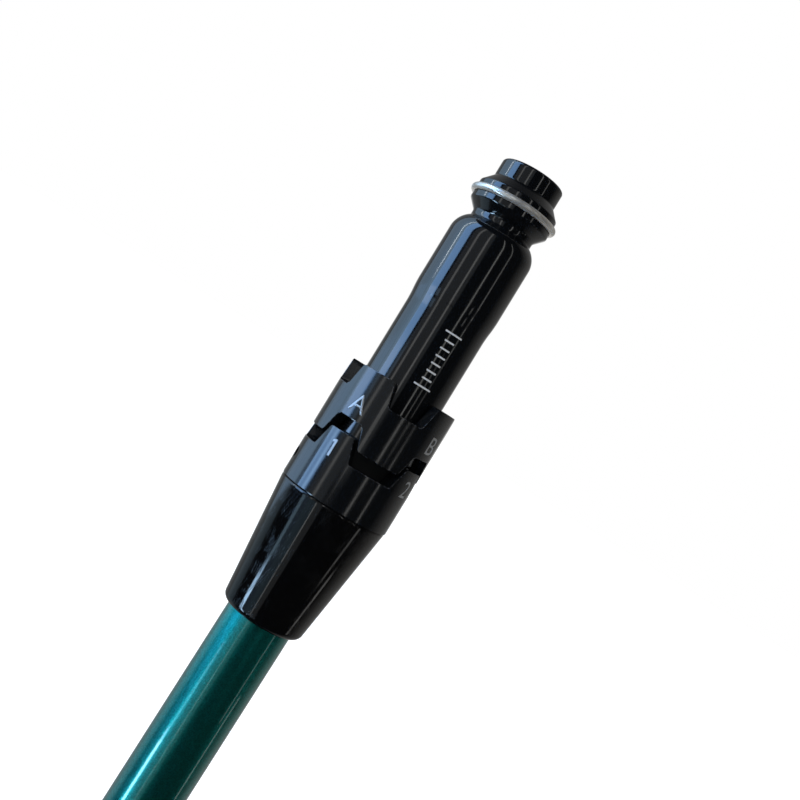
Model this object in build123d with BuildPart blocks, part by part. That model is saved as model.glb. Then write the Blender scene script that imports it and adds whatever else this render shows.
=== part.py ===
from build123d import *
from math import asin, cos, degrees, radians, sin, tan
import os

os.makedirs("parts", exist_ok=True)

# Adjustable adapter glued to the tip of a tubular shaft. Millimetres.
# The origin is the middle of the threaded tip's end face, and +Z points out of the tip.
# Heights are measured down from the tip, so every z below it is negative.

# --- Driving dimensions ---

# Shaft, and the bore that it is glued into
shaft_bare_diameter = 8.5
paint_thickness = 0.025
paint_feather = 0.8
shaft_core_diameter = 4.4
shaft_length_below_seam = 54.37
shaft_tilt = 1.02
tilt_pivot_above_seam = 2.03
adhesive_gap = 0.07
adhesive_floor = 0.6
plug_length = 6.0

# Sleeve, from the tip down: each length follows the one before it
tip_diameter = 8.23
tip_length = 2.33
tip_edge_radius = 0.4
flare_length = 1.26
collar_relief = 0.22
collar_length = 2.27
cone_length = 1.22
neck_diameter = 8.2
neck_length = 0.75
neck_fillet = 0.5
shoulder_length = 2.4
sleeve_wall = 1.14
upper_body_length = 7.53
body_relief = 0.195
step_length = 2.15
lower_body_length = 17.62
flange_height = 5.23

# Index teeth, on the flange and on both ends of the index ring
tooth_count = 4
tooth_direction = -28.7
tooth_height = 2.87
tooth_half_angle = 17.95
flank_slope = 19.0
corner_radius = 0.35

# Index ring, lifted off the flange
ring_bore_clearance = 0.115
ring_wall = 1.6
ring_web_height = 3.2
ring_lower_relief = 0.06
ring_upper_depth = 2.95
ring_upper_half_angle = 22.5
ring_upper_slope = 15.3
ring_flank_clearance = 0.05
ring_lift = 1.77
bore_chamfer = 0.2

# Retaining ring of round wire
wire_diameter = 0.9
wire_below_collar_top = 1.11
wire_catch = 0.19
wire_clearance = 0.05
wire_gap_angle = 10.0
wire_gap_direction = 100.0

# Threaded hole in the tip, and the web between it and the bore
thread_wall_diameter = 4.2
thread_depth = 9.5
thread_chamfer = 0.4
drill_point_angle = 59.0
drill_point_flat = 0.4
bore_web = 2.0

# Flange outside, dimple in it, and spigot under it
flange_step = 0.01
dimple_diameter = 1.4
dimple_depth = 0.8
dimple_height = 3.03
dimple_direction = -166.7
spigot_wall = 1.38
spigot_length = 2.5
spigot_chamfer = 0.3
bore_mouth_chamfer = 0.25

# Ferrule
ferrule_step = 0.045
ferrule_end_wall = 1.0
ferrule_length = 16.3
ferrule_top_round = 0.3
ferrule_end_round = 0.95
ferrule_socket_clearance = 0.05
ferrule_socket_relief = 0.3
ferrule_bore_clearance = 0.02

# --- Derived places ---

shaft_bare_radius = shaft_bare_diameter / 2
shaft_painted_radius = shaft_bare_radius + paint_thickness
shaft_core_radius = shaft_core_diameter / 2
bore_radius = shaft_bare_radius + adhesive_gap

tip_radius = tip_diameter / 2
neck_radius = neck_diameter / 2
upper_radius = bore_radius + sleeve_wall
lower_radius = upper_radius - body_relief
collar_radius = upper_radius - collar_relief
ring_bore_radius = upper_radius + ring_bore_clearance
ring_radius = ring_bore_radius + ring_wall
flange_radius = ring_radius + flange_step

flare_end = tip_length + flare_length
collar_end = flare_end + collar_length
cone_end = collar_end + cone_length
neck_end = cone_end + neck_length
shoulder_end = neck_end + shoulder_length
upper_body_end = shoulder_end + upper_body_length
lower_body_start = upper_body_end + step_length
teeth_top = lower_body_start + lower_body_length
notch_floor = teeth_top + tooth_height
flange_seam = notch_floor + flange_height

ring_bottom = notch_floor - ring_lift
ring_web_bottom = ring_bottom - tooth_height + ring_lower_relief
ring_web_top = ring_web_bottom - ring_web_height
ring_top = ring_web_top - ring_upper_depth
ring_lower_half_angle = tooth_half_angle + degrees(asin(ring_flank_clearance / ring_radius))

wire_radius = wire_diameter / 2
wire_centre_radius = ring_bore_radius + wire_catch - wire_radius
wire_depth_below_tip = flare_end + wire_below_collar_top
wire_turn = radians(wire_gap_direction + wire_gap_angle / 2)
wire_start = Plane(
    origin=(0, 0, 0),
    x_dir=(cos(wire_turn), sin(wire_turn), 0),
    z_dir=(sin(wire_turn), -cos(wire_turn), 0),
)

thread_radius = thread_wall_diameter / 2
drill_point = (thread_radius - drill_point_flat) / tan(radians(drill_point_angle))
dimple_turn = radians(dimple_direction)
dimple_outward = Vector(cos(dimple_turn), sin(dimple_turn), 0)
dimple_mouth = dimple_outward * flange_radius - Vector(0, 0, flange_seam - dimple_height)

tilt = radians(shaft_tilt)
shaft_down = Vector(-sin(tilt), 0, -cos(tilt))
pivot = Vector(0, 0, tilt_pivot_above_seam - flange_seam)
seam_centre = pivot + shaft_down * tilt_pivot_above_seam
# Sketches on this plane have the shaft's radius as x and the distance above the seam as y.
shaft_plane = Plane(origin=seam_centre, x_dir=(cos(tilt), 0, -sin(tilt)), z_dir=(0, -1, 0))
shaft_axis = Axis(seam_centre, -shaft_down)
seam_plane = Plane(origin=seam_centre, x_dir=(cos(tilt), 0, -sin(tilt)), z_dir=-shaft_down)
flange_reach = flange_seam + flange_radius * tan(tilt) + spigot_chamfer
bore_depth_from_seam = flange_seam - thread_depth - drill_point - bore_web
shaft_top = bore_depth_from_seam - adhesive_floor
paint_top = -ferrule_length
spigot_radius = bore_radius + spigot_wall
socket_radius = spigot_radius + ferrule_socket_clearance
socket_depth = spigot_length + ferrule_socket_relief
ferrule_top_radius = flange_radius - ferrule_step
ferrule_end_radius = shaft_painted_radius + ferrule_end_wall
ferrule_bore_radius = shaft_painted_radius + ferrule_bore_clearance


def straight_edges(piece, height):
    """Straight edges of a piece at this height, which are the crowns or the feet of flanks."""
    level = piece.edges().filter_by_position(Axis.Z, height - 0.01, height + 0.01)
    return level.filter_by(GeomType.LINE)


def notch_cutter(half_angle, slope, floor, mouth):
    """Notch-shaped block along +X between two flat flanks, each through the axis at mid height.

    floor and mouth are heights; the block is narrow at the floor and runs past the mouth."""
    middle = (floor + mouth) / 2
    rise = 1 if mouth > floor else -1
    over = mouth + rise * corner_radius
    block_middle = (floor + over) / 2
    block_height = abs(over - floor)
    lean = radians(slope)
    with BuildPart() as cutter:
        with Locations((flange_radius, 0, block_middle)):
            Box(2 * flange_radius, 4 * flange_radius, block_height)
        for side in (1, -1):
            turn = radians(side * half_angle)
            outward = Vector(-sin(turn), cos(turn), 0) * side
            away = outward * cos(lean) - Vector(0, 0, rise) * sin(lean)
            flank = Plane(origin=(0, 0, middle), x_dir=(cos(turn), sin(turn), 0), z_dir=away)
            split(bisect_by=flank, keep=Keep.BOTTOM)
        with Locations((0, 0, block_middle)):
            Cylinder(lower_radius - 2 * corner_radius, 2 * block_height, mode=Mode.SUBTRACT)
        fillet(straight_edges(cutter, floor).filter_by(Axis.Y, reverse=True), corner_radius)
    return cutter.part


# --- Adapter sleeve ---

sleeve_notch = notch_cutter(180 / tooth_count - tooth_half_angle, flank_slope, -notch_floor, -teeth_top)

# Flange with its index teeth, hollow inside the body it is joined to
with BuildPart() as toothed_flange:
    with BuildSketch(Plane.XZ):
        with BuildLine():
            Polyline(
                (lower_radius - corner_radius, -teeth_top),
                (flange_radius, -teeth_top),
                (flange_radius, -flange_reach),
                (lower_radius - corner_radius, -flange_reach),
                close=True,
            )
        make_face()
    revolve(axis=Axis.Z)
    with PolarLocations(0, tooth_count, start_angle=tooth_direction + 180 / tooth_count):
        add(sleeve_notch, mode=Mode.SUBTRACT)
    fillet(straight_edges(toothed_flange, -teeth_top), corner_radius)

with BuildPart() as adapter_sleeve:
    # Turned outside, from the tip down past the seam
    with BuildSketch(Plane.XZ) as outline:
        with BuildLine():
            Polyline(
                (0, 0),
                (tip_radius, 0),
                (tip_radius, -tip_length),
                (collar_radius, -flare_end),
                (collar_radius, -collar_end),
                (neck_radius, -cone_end),
                (neck_radius, -neck_end),
            )
            TangentArc((upper_radius, -shoulder_end), (neck_radius, -neck_end), tangent=(0, 1))
            Line((upper_radius, -shoulder_end), (upper_radius, -upper_body_end))
            Bezier(
                (upper_radius, -upper_body_end),
                (upper_radius, -upper_body_end - step_length / 2),
                (lower_radius, -upper_body_end - step_length / 2),
                (lower_radius, -lower_body_start),
            )
            Polyline(
                (lower_radius, -lower_body_start),
                (lower_radius, -flange_reach),
                (0, -flange_reach),
                (0, 0),
            )
        make_face()
        neck_corners = outline.vertices().filter_by_position(Axis.Y, -neck_end - 0.01, -cone_end + 0.01)
        fillet(neck_corners, neck_fillet)
        tip_corner = outline.vertices().filter_by_position(Axis.Y, -0.01, 0.01).sort_by(Axis.X)[-1]
        fillet(tip_corner, tip_edge_radius)
    revolve(axis=Axis.Z)
    add(toothed_flange.part)

    # Lower face, square to the tilted shaft, and the spigot under it
    split(bisect_by=seam_plane, keep=Keep.TOP)
    with BuildSketch(shaft_plane):
        with BuildLine():
            Polyline(
                (0, spigot_chamfer),
                (spigot_radius, spigot_chamfer),
                (spigot_radius, -spigot_length + spigot_chamfer),
                (spigot_radius - spigot_chamfer, -spigot_length),
                (0, -spigot_length),
                close=True,
            )
        make_face()
    revolve(axis=shaft_axis)

    # Blind bore for the shaft
    with BuildSketch(shaft_plane):
        with BuildLine():
            Polyline(
                (0, bore_depth_from_seam),
                (bore_radius, bore_depth_from_seam),
                (bore_radius, -spigot_length + bore_mouth_chamfer),
                (bore_radius + bore_mouth_chamfer, -spigot_length),
                (0, -spigot_length),
                close=True,
            )
        make_face()
    revolve(axis=shaft_axis, mode=Mode.SUBTRACT)

    # Threaded hole in the tip, with a plain wall at the thread's core
    with BuildSketch(Plane.XZ):
        with BuildLine():
            Polyline(
                (0, 0),
                (thread_radius + thread_chamfer, 0),
                (thread_radius, -thread_chamfer),
                (thread_radius, -thread_depth),
                (drill_point_flat, -thread_depth - drill_point),
                (0, -thread_depth - drill_point),
                close=True,
            )
        make_face()
    revolve(axis=Axis.Z, mode=Mode.SUBTRACT)

    # Groove for the retaining ring
    with BuildSketch(Plane.XZ):
        with Locations((wire_centre_radius, -wire_depth_below_tip)):
            Circle(wire_radius + wire_clearance)
    revolve(axis=Axis.Z, mode=Mode.SUBTRACT)

    # Blind dimple in the flange
    with BuildSketch(Plane(origin=dimple_mouth, z_dir=dimple_outward)):
        Circle(dimple_diameter / 2)
    extrude(amount=-dimple_depth, mode=Mode.SUBTRACT)

adapter_sleeve.part.label = "adapter_sleeve"
export_step(adapter_sleeve.part, "parts/adapter_sleeve.step")

# --- Retaining ring: a hoop of wire with a gap, sprung into its groove ---

with BuildPart() as snap_ring:
    with BuildSketch(wire_start):
        with Locations((wire_centre_radius, -wire_depth_below_tip)):
            Circle(wire_radius)
    revolve(axis=Axis.Z, revolution_arc=360 - wire_gap_angle)

snap_ring.part.label = "snap_ring"
export_step(snap_ring.part, "parts/snap_ring.step")

# --- Index ring: slides on the sleeve, with teeth at both ends ---

lower_notch = notch_cutter(ring_lower_half_angle, flank_slope, -ring_web_bottom, -ring_bottom)
upper_notch = notch_cutter(ring_upper_half_angle, ring_upper_slope, -ring_web_top, -ring_top)

with BuildPart() as index_ring:
    with BuildSketch(Plane.XZ):
        with BuildLine():
            Polyline(
                (ring_bore_radius, -ring_bottom),
                (ring_radius, -ring_bottom),
                (ring_radius, -ring_top),
                (ring_bore_radius, -ring_top),
                close=True,
            )
        make_face()
    revolve(axis=Axis.Z)
    with PolarLocations(0, tooth_count, start_angle=tooth_direction):
        add(lower_notch, mode=Mode.SUBTRACT)
    with PolarLocations(0, tooth_count, start_angle=tooth_direction + 180 / tooth_count):
        add(upper_notch, mode=Mode.SUBTRACT)
    fillet(straight_edges(index_ring, -ring_bottom), corner_radius)
    fillet(straight_edges(index_ring, -ring_top), corner_radius)

    # Chamfer at each end of the bore
    with BuildSketch(Plane.XZ):
        for land, inwards in ((-ring_bottom, bore_chamfer), (-ring_top, -bore_chamfer)):
            with BuildLine():
                Polyline(
                    (0, land),
                    (ring_bore_radius + bore_chamfer, land),
                    (ring_bore_radius, land + inwards),
                    (0, land + inwards),
                    close=True,
                )
            make_face()
    revolve(axis=Axis.Z, mode=Mode.SUBTRACT)

index_ring.part.label = "index_ring"
export_step(index_ring.part, "parts/index_ring.step")

# --- Ferrule: tapered trim ring over the spigot, snug on the shaft ---

with BuildPart() as ferrule:
    with BuildSketch(shaft_plane) as ferrule_section:
        with BuildLine():
            Polyline(
                (socket_radius, 0),
                (ferrule_top_radius, 0),
                (ferrule_end_radius, -ferrule_length),
                (ferrule_bore_radius, -ferrule_length),
                (ferrule_bore_radius, -socket_depth),
                (socket_radius, -socket_depth),
                close=True,
            )
        make_face()
        top_corner = ferrule_section.vertices().sort_by(Axis.X)[-1]
        fillet(top_corner, ferrule_top_round)
        end_corner = ferrule_section.vertices().group_by(Axis.Y)[0].sort_by(Axis.X)[-1]
        fillet(end_corner, ferrule_end_round)
    revolve(axis=shaft_axis)

ferrule.part.label = "ferrule"
export_step(ferrule.part, "parts/ferrule.step")

# --- Shaft: hollow laminate tube, bare inside the sleeve and ferrule, painted below them ---

with BuildPart() as shaft_tip:
    with BuildSketch(shaft_plane):
        with BuildLine():
            Polyline(
                (shaft_core_radius, shaft_top),
                (shaft_bare_radius, shaft_top),
                (shaft_bare_radius, paint_top + paint_feather),
                (shaft_painted_radius, paint_top),
                (shaft_painted_radius, -shaft_length_below_seam),
                (shaft_core_radius, -shaft_length_below_seam),
                close=True,
            )
        make_face()
    revolve(axis=shaft_axis)

shaft_tip.part.label = "shaft_tip"
export_step(shaft_tip.part, "parts/shaft_tip.step")

# --- Adhesive: thin sleeve round the glued length, with a floor over the shaft's end ---

with BuildPart() as epoxy_bond:
    with BuildSketch(shaft_plane):
        with BuildLine():
            Polyline(
                (0, bore_depth_from_seam),
                (bore_radius, bore_depth_from_seam),
                (bore_radius, -spigot_length + bore_mouth_chamfer),
                (shaft_bare_radius, -spigot_length + bore_mouth_chamfer),
                (shaft_bare_radius, shaft_top),
                (0, shaft_top),
                close=True,
            )
        make_face()
    revolve(axis=shaft_axis)

epoxy_bond.part.label = "epoxy_bond"
export_step(epoxy_bond.part, "parts/epoxy_bond.step")

# --- Plug in the shaft's core that keeps the adhesive out ---

with BuildPart() as tip_plug:
    with BuildSketch(shaft_plane):
        with BuildLine():
            Polyline(
                (0, shaft_top),
                (shaft_core_radius, shaft_top),
                (shaft_core_radius, shaft_top - plug_length),
                (0, shaft_top - plug_length),
                close=True,
            )
        make_face()
    revolve(axis=shaft_axis)

tip_plug.part.label = "tip_plug"
export_step(tip_plug.part, "parts/tip_plug.step")
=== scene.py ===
import math
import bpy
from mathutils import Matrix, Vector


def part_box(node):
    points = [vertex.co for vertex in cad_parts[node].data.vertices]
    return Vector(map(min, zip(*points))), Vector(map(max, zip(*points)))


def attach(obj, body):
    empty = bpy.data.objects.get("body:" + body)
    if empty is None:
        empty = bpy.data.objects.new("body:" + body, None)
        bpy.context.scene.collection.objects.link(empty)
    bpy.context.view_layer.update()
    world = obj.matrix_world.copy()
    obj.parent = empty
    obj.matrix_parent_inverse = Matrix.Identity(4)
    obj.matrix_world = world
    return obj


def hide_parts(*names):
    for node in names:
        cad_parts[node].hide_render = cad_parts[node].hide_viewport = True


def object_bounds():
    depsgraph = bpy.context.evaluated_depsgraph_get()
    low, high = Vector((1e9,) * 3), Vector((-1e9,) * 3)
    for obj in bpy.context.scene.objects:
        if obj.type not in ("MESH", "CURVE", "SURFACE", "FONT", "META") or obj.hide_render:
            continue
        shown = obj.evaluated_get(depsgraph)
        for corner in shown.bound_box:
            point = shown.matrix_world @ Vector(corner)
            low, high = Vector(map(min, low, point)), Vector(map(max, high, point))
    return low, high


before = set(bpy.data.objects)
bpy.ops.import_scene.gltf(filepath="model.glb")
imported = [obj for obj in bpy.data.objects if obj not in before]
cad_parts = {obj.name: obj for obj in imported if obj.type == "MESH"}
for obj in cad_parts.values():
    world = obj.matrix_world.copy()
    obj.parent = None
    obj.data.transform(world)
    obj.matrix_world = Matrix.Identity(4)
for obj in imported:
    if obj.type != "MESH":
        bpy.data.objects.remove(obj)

from types import SimpleNamespace

import bmesh
import bpy
from bpy.props import FloatProperty, FloatVectorProperty, IntProperty, PointerProperty
from bpy.types import Operator, Panel, PropertyGroup
from mathutils import Matrix, Vector

bl_info = {
    "name": "Shaft adapter maker",
    "version": (1, 0, 0),
    "blender": (4, 5, 0),
    "location": "View3D > Sidebar > Adapter",
    "description": "Makes the pieces of an adjustable shaft adapter",
    "category": "Object",
}

# Every section is drawn in millimetres and brought to metres at the end.
# The origin is the middle of the threaded tip's end face and +Z points out of the tip.

CAD_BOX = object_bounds()
RING_LOW, RING_HIGH = (corner.z * 1000 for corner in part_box("index_ring"))
WIRE_LOW, WIRE_HIGH = (corner.z * 1000 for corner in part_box("snap_ring"))
SAME = 1e-4  # points closer than this in a section are the same
PLAIN_COLUMNS = 288  # columns round a piece without teeth


# --- Properties that a user would change ---


def length(name, default, description):
    """A length property, given in millimetres."""
    return FloatProperty(
        name=name, description=description, default=default / 1000, min=0.0, precision=5, unit="LENGTH"
    )


def turn(name, default, description):
    """An angle property, given in degrees."""
    return FloatProperty(
        name=name, description=description, default=math.radians(default), unit="ROTATION", subtype="ANGLE"
    )


def count(name, default, description):
    """A whole number of columns, lines or turns."""
    return IntProperty(name=name, description=description, default=default, min=1)


def level(name, default, description):
    """A strength of light."""
    return FloatProperty(name=name, description=description, default=default, min=0.0)


def colour(name, default, description):
    """A colour property."""
    return FloatVectorProperty(
        name=name, description=description, default=default, size=3, min=0.0, max=1.0, subtype="COLOR"
    )


class ToothSizes(PropertyGroup):
    """Index teeth on the flange and on both ends of the ring"""

    direction: turn("Direction", -28.7, "Direction of the first flange tooth, from +X")
    teeth: count("Teeth", 4, "Teeth round the axis")
    corner: length("Corner", 0.35, "Round on the corners of a tooth and of a notch")
    columns: count("Columns", 720, "Columns round a toothed piece")
    flange_half: turn("Flange notch", 27.05, "Half angle of a notch between flange teeth, at mid height")
    flange_lean: turn("Flange flank", 19.0, "Slope of a flank on the flange and on the ring's lower end")
    lower_half: turn("Lower notch", 18.35, "Half angle of a notch in the ring's lower end")
    upper_half: turn("Upper notch", 22.5, "Half angle of a notch in the ring's upper end")
    upper_lean: turn("Upper flank", 15.3, "Slope of a flank on the ring's upper end")


class SleeveSizes(PropertyGroup):
    """Turned sleeve, from the tip down; heights are depths below the tip"""

    tip_radius: length("Tip radius", 4.115, "Radius of the plain tip")
    tip_round: length("Tip round", 0.4, "Round on the tip's edge")
    tip_end: length("Tip end", 2.33, "Depth where the tip ends and the flare starts")
    flare_end: length("Flare end", 3.59, "Depth where the collar starts")
    collar_radius: length("Collar radius", 5.24, "Radius of the collar with the wire groove")
    collar_end: length("Collar end", 5.86, "Depth where the collar ends")
    flare_round: length("Flare round", 0.10, "Round at both ends of the flare")
    collar_round: length("Collar round", 0.12, "Round on the collar's lower edge")
    groove_depth: length("Groove depth", 4.70, "Depth of the middle of the wire groove below the tip")
    groove_radius: length("Groove radius", 0.5, "Radius of the groove's section")
    neck_radius: length("Neck radius", 4.10, "Radius of the neck")
    cone_end: length("Cone end", 7.08, "Depth where the cone meets the neck")
    neck_end: length("Neck end", 7.83, "Depth where the neck ends")
    neck_top_round: length("Neck top round", 0.2, "Reach of the round at the neck's upper end")
    neck_foot_round: length("Neck foot round", 0.285, "Reach of the round at the neck's lower end")
    shoulder_end: length("Shoulder end", 10.23, "Depth where the shoulder's arc meets the body")
    upper_radius: length("Upper body radius", 5.46, "Radius of the body above the soft step")
    upper_end: length("Upper body end", 17.76, "Depth where the soft step starts")
    lower_start: length("Lower body start", 19.91, "Depth where the soft step ends")
    lower_radius: length("Lower body radius", 5.265, "Radius of the body below the soft step")
    step_lead: length("Step lead", 0.25, "How far inside the soft step its slope's corners lie")
    step_round: length("Step round", 0.8, "Reach of the rounds at both ends of the soft step")
    crown: length("Crown", 37.53, "Depth of the flange teeth's crowns")
    tooth_depth: length("Tooth depth", 2.87, "Height of the flange teeth")
    flange_radius: length("Flange radius", 7.185, "Radius of the flange")
    seam: length("Seam", 45.63, "Depth of the flange's lower face on the axis")
    spigot_radius: length("Spigot radius", 5.70, "Radius of the spigot inside the ferrule")
    spigot_length: length("Spigot length", 2.5, "Length of the spigot")
    spigot_chamfer: length("Spigot chamfer", 0.3, "Chamfer on the spigot's edge")
    bore_radius: length("Bore radius", 4.32, "Radius of the shaft's bore")
    bore_end: length("Bore end", 12.52, "Depth of the bore's blind end below the tip")
    bore_chamfer: length("Bore chamfer", 0.25, "Chamfer at the bore's mouth")
    hole_radius: length("Hole radius", 2.1, "Radius of the drilled hole, which is the thread's core")
    thread_radius: length("Thread radius", 2.46, "Radius of the thread's valley")
    thread_pitch: length("Thread pitch", 0.8, "Pitch of the thread")
    thread_end: length("Thread end", 9.0, "Depth of the threaded part of the hole")
    thread_mouth: length("Thread mouth", 0.12, "Chamfer at the thread's mouth")
    thread_runout: length("Thread run-out", 0.3, "Length of the cone below the thread")
    hole_end: length("Hole end", 9.5, "Depth where the drill point starts")
    drill_point: length("Drill point", 10.56, "Depth of the drill point")
    edge_break: length("Edge break", 0.07, "Small break along the teeth and the flange")
    dimple_radius: length("Dimple radius", 0.7, "Radius of the blind dimple in the flange")
    dimple_sink: length("Dimple sink", 0.8, "How far the dimple goes in")
    dimple_round: length("Dimple round", 0.25, "Round at the dimple's floor")
    dimple_depth: length("Dimple depth", 42.6, "Depth of the dimple's middle below the tip")
    dimple_direction: turn("Dimple direction", -166.7, "Direction of the dimple, from +X")


class RingSizes(PropertyGroup):
    """Loose index ring with teeth at both ends"""

    outer_radius: length("Outer radius", 7.175, "Radius of the ring's outside")
    bore_radius: length("Bore radius", 5.575, "Radius of the ring's bore")
    lower_depth: length("Lower notch", 2.81, "Depth of the notches in the lower end")
    upper_depth: length("Upper notch", 2.95, "Depth of the notches in the upper end")
    bore_break: length("Bore break", 0.18, "Chamfer at each end of the bore")
    edge_break: length("Edge break", 0.07, "Small break along the outer edges")


class WireSizes(PropertyGroup):
    """Retaining ring of round spring wire"""

    wire_radius: length("Wire radius", 0.45, "Radius of the wire")
    hoop_radius: length("Hoop radius", 5.315, "Radius of the hoop's middle line")
    gap: turn("Gap", 10.0, "Open part of the hoop")
    gap_direction: turn("Gap direction", 100.0, "Direction of the gap, from +X")
    end_break: length("End break", 0.08, "Break on the wire's cut ends")


class FerruleSizes(PropertyGroup):
    """Tapered trim ring, in depths below the seam"""

    top_radius: length("Top radius", 7.14, "Radius at the flange")
    top_round: length("Top round", 0.3, "Round next to the flange")
    end_radius: length("End radius", 5.275, "Radius at the shaft's end, before its round")
    end_round: length("End round", 0.95, "Round at the shaft's end")
    ferrule_length: length("Length", 16.3, "Length from the flange to the shaft's end")
    socket_radius: length("Socket radius", 5.75, "Radius of the socket over the spigot")
    socket_depth: length("Socket depth", 2.8, "Depth of the socket")
    bore_radius: length("Bore radius", 4.295, "Radius of the bore round the shaft")


class ShaftSizes(PropertyGroup):
    """Hollow laminate shaft, in depths below the seam"""

    bare_radius: length("Bare radius", 4.25, "Radius under the paint")
    painted_radius: length("Painted radius", 4.275, "Radius over the paint")
    core_radius: length("Core radius", 2.2, "Radius of the hollow core")
    top: length("Top", 32.51, "Height of the shaft's end above the seam")
    paint_start: length("Paint start", 16.3, "Depth where the full coat of paint starts")
    feather: length("Feather", 0.8, "Length over which the paint thins out")
    end: length("End", 54.37, "Depth of the cut end")
    end_break: length("End break", 0.12, "Break on the cut end's edges")
    tilt: turn("Tilt", 1.02, "Tilt of the shaft to the sleeve")
    pivot: length("Pivot", 43.6, "Depth of the point that the shaft is tilted about")


class MarkSizes(PropertyGroup):
    """Plain dial marks, etched"""

    letter_height: length("Letter height", 2.2, "Height of the ring's letters")
    number_height: length("Number height", 2.1, "Height of the flange's numbers")
    letter_depth: length("Letter depth", 33.85, "Depth of the letters' middle below the tip")
    number_depth: length("Number depth", 39.70, "Depth of the numbers' middle below the tip")
    first: turn("First mark", -28.5, "Direction of the first mark, from -Y towards +X")
    film: length("Film", 0.012, "How far an etched mark stands out")
    scale_direction: turn("Scale direction", 19.0, "Direction of the graduations, from -Y towards +X")
    scale_start: length("Scale start", 21.5, "Depth of the first graduation")
    scale_pitch: length("Scale pitch", 1.0, "Distance from one graduation to the next")
    scale_lines: count("Graduations", 8, "Graduation lines on the body")
    line_long: length("Long line", 2.3, "Length of a long graduation")
    line_short: length("Short line", 1.3, "Length of a short graduation")
    line_width: length("Line width", 0.2, "Width of a graduation")


class FinishColours(PropertyGroup):
    """Colours of the finishes"""

    sleeve: colour("Sleeve", (0.0022, 0.0026, 0.0032), "Black anodised sleeve")
    ring: colour("Ring", (0.0026, 0.0031, 0.0038), "Black anodised ring and flange")
    # The worn edge colour is partly worn metal and partly a painted highlight that lightens every broken
    # edge.
    worn_and_highlight: colour("Worn edge", (0.16, 0.17, 0.19), "Metal that shows along a worn edge")
    wire: colour("Wire", (0.80, 0.77, 0.71), "Stainless spring wire")
    ferrule: colour("Ferrule", (0.0016, 0.0016, 0.0018), "Black ferrule plastic")
    scratch: colour("Scratch", (0.10, 0.11, 0.12), "Hairline scratches in the ferrule")
    lacquer: colour("Lacquer", (0.004, 0.200, 0.178), "Teal metallic lacquer")
    flake: colour("Flake", (0.03, 0.49, 0.45), "Flake in the lacquer")
    laminate: colour("Laminate", (0.020, 0.020, 0.022), "Bare laminate of the shaft")
    etch: colour("Etch", (0.50, 0.51, 0.52), "Etched marks")
    adhesive: colour("Adhesive", (0.62, 0.50, 0.27), "Cured adhesive")
    rubber: colour("Rubber", (0.03, 0.03, 0.032), "Rubber plug")


class StageSettings(PropertyGroup):
    """Floor, lamps and camera"""

    key_strength: level("Key", 5.7, "Radiance of the broad lamp")
    key_colour: colour("Key colour", (0.29, 0.55, 1.0), "Colour of the broad lamp")
    side_strength: level("Side", 3.1, "Radiance of the lamp beside the key")
    side_colour: colour("Side colour", (0.46, 0.71, 1.0), "Colour of the lamp beside the key")
    strip_strength: level("Strips", 1.1, "Radiance of the narrow lamps")
    low_strength: level("Low lamps", 12.0, "Radiance of the low lamps")
    lamp_distance: length("Lamp distance", 600.0, "Distance of the lamps from the axis")
    ambient: level("Ambient", 0.55, "Light from all round on plain surfaces")
    floor_glow: level("Floor glow", 0.62, "Light that the floor gives off where the camera sees it")
    lens: FloatProperty(
        name="Lens", description="Focal length of the camera", default=48.6, min=1.0, unit="CAMERA"
    )
    roll: turn("Roll", 31.47, "Roll of the camera")
    camera_distance: length("Camera distance", 129.0, "Distance of the camera from the axis, towards -Y")
    camera_depth: length("Camera depth", 31.1, "Depth of the camera below the tip")
    camera_side: length("Camera side", 0.31, "Distance of the camera from the axis, towards +X")


def sizes(group):
    """The group's values by name, with its lengths in millimetres."""
    values = {}
    for name in group.__annotations__:
        value = getattr(group, name)
        is_length = group.bl_rna.properties[name].unit == "LENGTH"
        values[name] = value * 1000 if is_length else value
    return SimpleNamespace(**values)


# --- Drawing sections and revolving them ---


def points_in(geometry):
    """The points among an operator's results."""
    return [part for part in geometry if isinstance(part, bmesh.types.BMVert)]


def all_of(shell):
    """All of a shell's points, edges and faces."""
    return shell.verts[:] + shell.edges[:] + shell.faces[:]


def rotate(shell, points, angle, axis, centre=(0, 0, 0)):
    """Turns points about an axis through a centre."""
    bmesh.ops.rotate(shell, verts=points, cent=centre, matrix=Matrix.Rotation(angle, 3, axis))


def spin(shell, geometry, angle, steps, rise=0.0):
    """Spins geometry round Z, and moves it up by this much at each step."""
    bmesh.ops.spin(
        shell, geom=geometry, cent=(0, 0, 0), axis=(0, 0, 1), dvec=(0, 0, rise), angle=angle, steps=steps
    )


def weld(shell):
    """Joins the points that lie on one another."""
    bmesh.ops.remove_doubles(shell, verts=shell.verts[:], dist=1e-5)


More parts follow.
